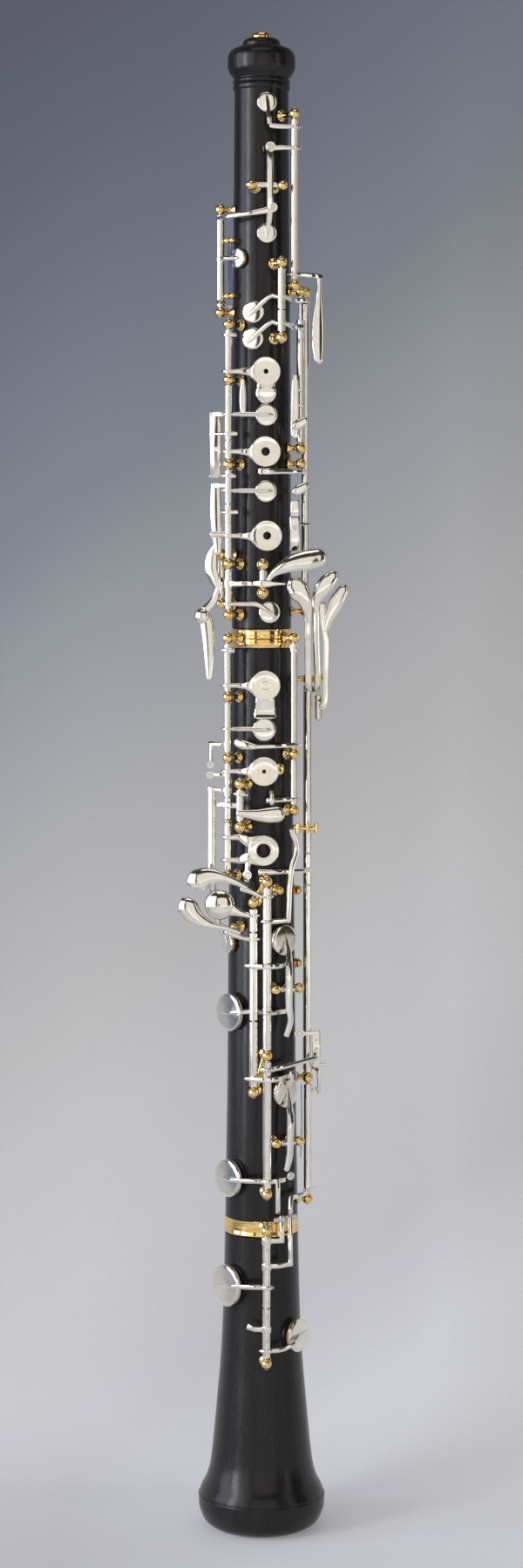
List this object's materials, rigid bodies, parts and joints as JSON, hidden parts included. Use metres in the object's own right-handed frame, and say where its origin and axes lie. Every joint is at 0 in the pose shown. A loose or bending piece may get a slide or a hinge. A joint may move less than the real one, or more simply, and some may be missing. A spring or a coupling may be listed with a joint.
{
  "type": "oboe",
  "caption": "Conservatoire-system oboe: three black wooden joints, gold posts and rings, silver keywork on real hinge rods, with working octave, trill, finger and bell keys.",
  "frame": {"origin": "centre of the bell's mouth, on the bore axis", "axes": "+Z along the bore from the bell's mouth up to the reed socket; -Y is the front, where the finger plates are; +X is the side of the right hand trill touches"},
  "size_m": [0.0681, 0.0514, 0.602],
  "materials": {
    "grenadilla_wood": "oiled, close grained black wood with a soft sheen",
    "gold_plate": "polished gold plate on posts, rods, rings and socket liner",
    "silver_plate": "polished silver plate on the keys"
  },
  "bodies": {
    "instrument": {"banana_posts": "gold_plate", "bell": "grenadilla_wood", "bell_posts": "gold_plate", "bell_ring": "gold_plate", "c_sharp_hinge_posts": "gold_plate", "e_flat_hinge_posts": "gold_plate", "foot_joint_posts": "gold_plate", "fork_posts": "gold_plate", "g_sharp_lever_posts": "gold_plate", "long_lever_posts": "gold_plate", "lower_joint": "grenadilla_wood", "lower_joint_ring": "gold_plate", "lower_stack_posts": "gold_plate", "reed_socket_liner": "gold_plate", "rocker_posts": "gold_plate", "side_octave_posts": "gold_plate", "side_trill_posts": "gold_plate", "thumb_octave_posts": "gold_plate", "thumb_rest": "silver_plate", "trill_lever_posts": "gold_plate", "trill_rod_posts": "gold_plate", "upper_joint": "grenadilla_wood", "upper_joint_ring": "gold_plate", "upper_stack_posts": "gold_plate"},
    "side_octave_key": {"side_octave_key": "silver_plate"},
    "thumb_octave_key": {"thumb_octave_key": "silver_plate"},
    "octave_rocker": {"octave_rocker": "silver_plate"},
    "long_trill_key": {"long_trill_key": "silver_plate"},
    "upper_trill_lever": {"upper_trill_lever": "silver_plate"},
    "short_trill_key": {"short_trill_key": "silver_plate"},
    "lower_trill_lever": {"lower_trill_lever": "silver_plate"},
    "half_hole_key": {"half_hole_key": "silver_plate"},
    "a_key": {"a_key": "silver_plate"},
    "b_vent_key": {"b_vent_key": "silver_plate"},
    "g_key": {"g_key": "silver_plate"},
    "second_vent_key": {"second_vent_key": "silver_plate"},
    "g_sharp_lever": {"g_sharp_lever": "silver_plate"},
    "g_sharp_key": {"g_sharp_key": "silver_plate"},
    "side_trill_key": {"side_trill_key": "silver_plate"},
    "f_sharp_key": {"f_sharp_key": "silver_plate"},
    "e_key": {"e_key": "silver_plate"},
    "third_vent_key": {"third_vent_key": "silver_plate"},
    "fork_f_key": {"fork_f_key": "silver_plate"},
    "banana_key": {"banana_key": "silver_plate"},
    "side_f_key": {"side_f_key": "silver_plate"},
    "bridge_key": {"bridge_key": "silver_plate"},
    "d_key": {"d_key": "silver_plate"},
    "d_link_key": {"d_link_key": "silver_plate"},
    "low_b_lever": {"low_b_lever": "silver_plate"},
    "low_b_key": {"low_b_key": "silver_plate"},
    "low_b_flat_lever": {"low_b_flat_lever": "silver_plate"},
    "bell_link_lever": {"bell_link_lever": "silver_plate"},
    "bell_b_flat_key": {"bell_b_flat_key": "silver_plate"},
    "bell_vent_key": {"bell_vent_key": "silver_plate"},
    "left_f_lever": {"left_f_lever": "silver_plate"},
    "low_c_key": {"low_c_key": "silver_plate"},
    "c_sharp_key": {"c_sharp_key": "silver_plate"},
    "c_sharp_cup_lever": {"c_sharp_cup_lever": "silver_plate"},
    "e_flat_key": {"e_flat_key": "silver_plate"},
    "e_flat_cup_lever": {"e_flat_cup_lever": "silver_plate"}
  },
  "joints": [
    {"name": "side_octave_key_hinge", "type": "hinge", "parent": "instrument", "child": "side_octave_key", "pos_m": [0.01306, -0.01352, 0.5353], "axis": [0, 0, 1], "range_deg": [0, 6.3]},
    {"name": "thumb_octave_key_hinge", "type": "hinge", "parent": "instrument", "child": "thumb_octave_key", "pos_m": [-0.01632, -0.00437, 0.5123], "axis": [0, 0, 1], "range_deg": [-3.2, 0]},
    {"name": "octave_rocker_hinge", "type": "hinge", "parent": "instrument", "child": "octave_rocker", "pos_m": [0.00204, -0.01788, 0.5404], "axis": [0.9936, 0.1132, 0], "range_deg": [-5.6, 0]},
    {"name": "long_trill_key_hinge", "type": "hinge", "parent": "instrument", "child": "long_trill_key", "pos_m": [0.0176, -0.00185, 0.4367], "axis": [0, 0, 1], "range_deg": [-5, 0]},
    {"name": "upper_trill_lever_hinge", "type": "hinge", "parent": "instrument", "child": "upper_trill_lever", "pos_m": [0.00782, -0.01677, 0.5002], "axis": [0, 0, 1], "range_deg": [0, 6]},
    {"name": "short_trill_key_hinge", "type": "hinge", "parent": "instrument", "child": "short_trill_key", "pos_m": [0.01553, -0.00692, 0.4648], "axis": [0, 0, 1], "range_deg": [-5, 0]},
    {"name": "lower_trill_lever_hinge", "type": "hinge", "parent": "instrument", "child": "lower_trill_lever", "pos_m": [0.00782, -0.01677, 0.4877], "axis": [0, 0, 1], "range_deg": [0, 6]},
    {"name": "half_hole_key_hinge", "type": "hinge", "parent": "instrument", "child": "half_hole_key", "pos_m": [-0.01299, -0.01345, 0.4758], "axis": [0, 0, 1], "range_deg": [0, 6]},
    {"name": "a_key_hinge", "type": "hinge", "parent": "instrument", "child": "a_key", "pos_m": [-0.01299, -0.01345, 0.4374], "axis": [0, 0, 1], "range_deg": [0, 5.5]},
    {"name": "b_vent_key_hinge", "type": "hinge", "parent": "instrument", "child": "b_vent_key", "pos_m": [-0.01299, -0.01345, 0.4519], "axis": [0, 0, 1], "range_deg": [0, 3.6]},
    {"name": "g_key_hinge", "type": "hinge", "parent": "instrument", "child": "g_key", "pos_m": [-0.01299, -0.01345, 0.4052], "axis": [0, 0, 1], "range_deg": [0, 5.5]},
    {"name": "second_vent_key_hinge", "type": "hinge", "parent": "instrument", "child": "second_vent_key", "pos_m": [-0.01299, -0.01345, 0.4227], "axis": [0, 0, 1], "range_deg": [0, 3.6]},
    {"name": "g_sharp_lever_hinge", "type": "hinge", "parent": "instrument", "child": "g_sharp_lever", "pos_m": [0.00065, -0.01849, 0.3864], "axis": [0, 0, 1], "range_deg": [0, 4]},
    {"name": "g_sharp_key_hinge", "type": "hinge", "parent": "instrument", "child": "g_sharp_key", "pos_m": [-0.01299, -0.01345, 0.3821], "axis": [0, 0, 1], "range_deg": [-7, 0]},
    {"name": "side_trill_key_hinge", "type": "hinge", "parent": "instrument", "child": "side_trill_key", "pos_m": [-0.01604, -0.00817, 0.3862], "axis": [0, 0, 1], "range_deg": [-6, 0]},
    {"name": "f_sharp_key_hinge", "type": "hinge", "parent": "instrument", "child": "f_sharp_key", "pos_m": [-0.01339, -0.01348, 0.3511], "axis": [0, 0, 1], "range_deg": [0, 5.5]},
    {"name": "e_key_hinge", "type": "hinge", "parent": "instrument", "child": "e_key", "pos_m": [-0.01339, -0.01348, 0.3085], "axis": [0, 0, 1], "range_deg": [0, 5.5]},
    {"name": "third_vent_key_hinge", "type": "hinge", "parent": "instrument", "child": "third_vent_key", "pos_m": [-0.01339, -0.01348, 0.3272], "axis": [0, 0, 1], "range_deg": [0, 3.6]},
    {"name": "fork_f_key_hinge", "type": "hinge", "parent": "instrument", "child": "fork_f_key", "pos_m": [0.01295, -0.01086, 0.3397], "axis": [0, 0, 1], "range_deg": [-3, 0]},
    {"name": "banana_key_hinge", "type": "hinge", "parent": "instrument", "child": "banana_key", "pos_m": [-0.00849, -0.01789, 0.2964], "axis": [0, 0, 1], "range_deg": [0, 6]},
    {"name": "side_f_key_hinge", "type": "hinge", "parent": "instrument", "child": "side_f_key", "pos_m": [-0.01339, -0.01348, 0.3017], "axis": [0, 0, 1], "range_deg": [0, 6]},
    {"name": "bridge_key_hinge", "type": "hinge", "parent": "instrument", "child": "bridge_key", "pos_m": [0.01295, -0.01086, 0.3052], "axis": [0, 0, 1], "range_deg": [-6, 0]},
    {"name": "d_key_hinge", "type": "hinge", "parent": "instrument", "child": "d_key", "pos_m": [-0.01339, -0.01348, 0.2849], "axis": [0, 0, 1], "range_deg": [0, 5.5]},
    {"name": "d_link_key_hinge", "type": "hinge", "parent": "instrument", "child": "d_link_key", "pos_m": [0.01876, -0.00304, 0.2696], "axis": [0, 0, 1], "range_deg": [-3.6, 0]},
    {"name": "low_b_lever_hinge", "type": "hinge", "parent": "instrument", "child": "low_b_lever", "pos_m": [0.01876, -0.00304, 0.3], "axis": [0, 0, 1], "range_deg": [-12, 0]},
    {"name": "low_b_key_hinge", "type": "hinge", "parent": "instrument", "child": "low_b_key", "pos_m": [0.00216, -0.02059, 0.1684], "axis": [0, 0, 1], "range_deg": [-4.6, 0]},
    {"name": "low_b_flat_lever_hinge", "type": "hinge", "parent": "instrument", "child": "low_b_flat_lever", "pos_m": [0.0184, 0.00193, 0.2653], "axis": [0, 0, 1], "range_deg": [0, 6]},
    {"name": "bell_link_lever_hinge", "type": "hinge", "parent": "instrument", "child": "bell_link_lever", "pos_m": [0.01876, -0.00304, 0.1597], "axis": [0, 0, 1], "range_deg": [0, 5]},
    {"name": "bell_b_flat_key_hinge", "type": "hinge", "parent": "instrument", "child": "bell_b_flat_key", "pos_m": [0.00194, -0.02221, 0.1092], "axis": [0, 0, 1], "range_deg": [-4.8, 0]},
    {"name": "bell_vent_key_hinge", "type": "hinge", "parent": "instrument", "child": "bell_vent_key", "pos_m": [0.00194, -0.02221, 0.0844], "axis": [0, 0, 1], "range_deg": [0, 3.1]},
    {"name": "left_f_lever_hinge", "type": "hinge", "parent": "instrument", "child": "left_f_lever", "pos_m": [0.02299, 0.0008, 0.3348], "axis": [0, 0, 1], "range_deg": [0, 8]},
    {"name": "low_c_key_hinge", "type": "hinge", "parent": "instrument", "child": "low_c_key", "pos_m": [0.00216, -0.02059, 0.2312], "axis": [0, 0, 1], "range_deg": [-5.5, 0]},
    {"name": "c_sharp_key_hinge", "type": "hinge", "parent": "instrument", "child": "c_sharp_key", "pos_m": [-0.00318, -0.02005, 0.22], "axis": [0, 0, 1], "range_deg": [-7, 0]},
    {"name": "c_sharp_cup_lever_hinge", "type": "hinge", "parent": "instrument", "child": "c_sharp_cup_lever", "pos_m": [0.0106, -0.01696, 0.1608], "axis": [0.848, 0.5299, 0], "range_deg": [0, 3.7]},
    {"name": "e_flat_key_hinge", "type": "hinge", "parent": "instrument", "child": "e_flat_key", "pos_m": [-0.00318, -0.02005, 0.2282], "axis": [0, 0, 1], "range_deg": [-6, 0]},
    {"name": "e_flat_cup_lever_hinge", "type": "hinge", "parent": "instrument", "child": "e_flat_cup_lever", "pos_m": [0.01039, -0.01662, 0.2228], "axis": [0.848, 0.5299, 0], "range_deg": [0, 7.5]}
  ],
  "couplings": [
    {"joint": "octave_rocker_hinge", "follows": "thumb_octave_key_hinge", "ratio": 1.75},
    {"joint": "upper_trill_lever_hinge", "follows": "long_trill_key_hinge", "ratio": -1.2},
    {"joint": "lower_trill_lever_hinge", "follows": "short_trill_key_hinge", "ratio": -1.2},
    {"joint": "b_vent_key_hinge", "follows": "a_key_hinge", "ratio": 0.65},
    {"joint": "second_vent_key_hinge", "follows": "g_key_hinge", "ratio": 0.65},
    {"joint": "g_sharp_key_hinge", "follows": "g_sharp_lever_hinge", "ratio": -1.7},
    {"joint": "third_vent_key_hinge", "follows": "e_key_hinge", "ratio": 0.65},
    {"joint": "side_f_key_hinge", "follows": "banana_key_hinge", "ratio": 1},
    {"joint": "bridge_key_hinge", "follows": "banana_key_hinge", "ratio": -1},
    {"joint": "d_link_key_hinge", "follows": "d_key_hinge", "ratio": -0.64},
    {"joint": "low_b_key_hinge", "follows": "low_b_lever_hinge", "ratio": 0.375},
    {"joint": "bell_link_lever_hinge", "follows": "low_b_flat_lever_hinge", "ratio": 0.83},
    {"joint": "bell_b_flat_key_hinge", "follows": "low_b_flat_lever_hinge", "ratio": -0.8},
    {"joint": "bell_vent_key_hinge", "follows": "low_b_flat_lever_hinge", "ratio": 0.5},
    {"joint": "c_sharp_cup_lever_hinge", "follows": "c_sharp_key_hinge", "ratio": -0.51},
    {"joint": "e_flat_cup_lever_hinge", "follows": "e_flat_key_hinge", "ratio": -1.25}
  ]
}
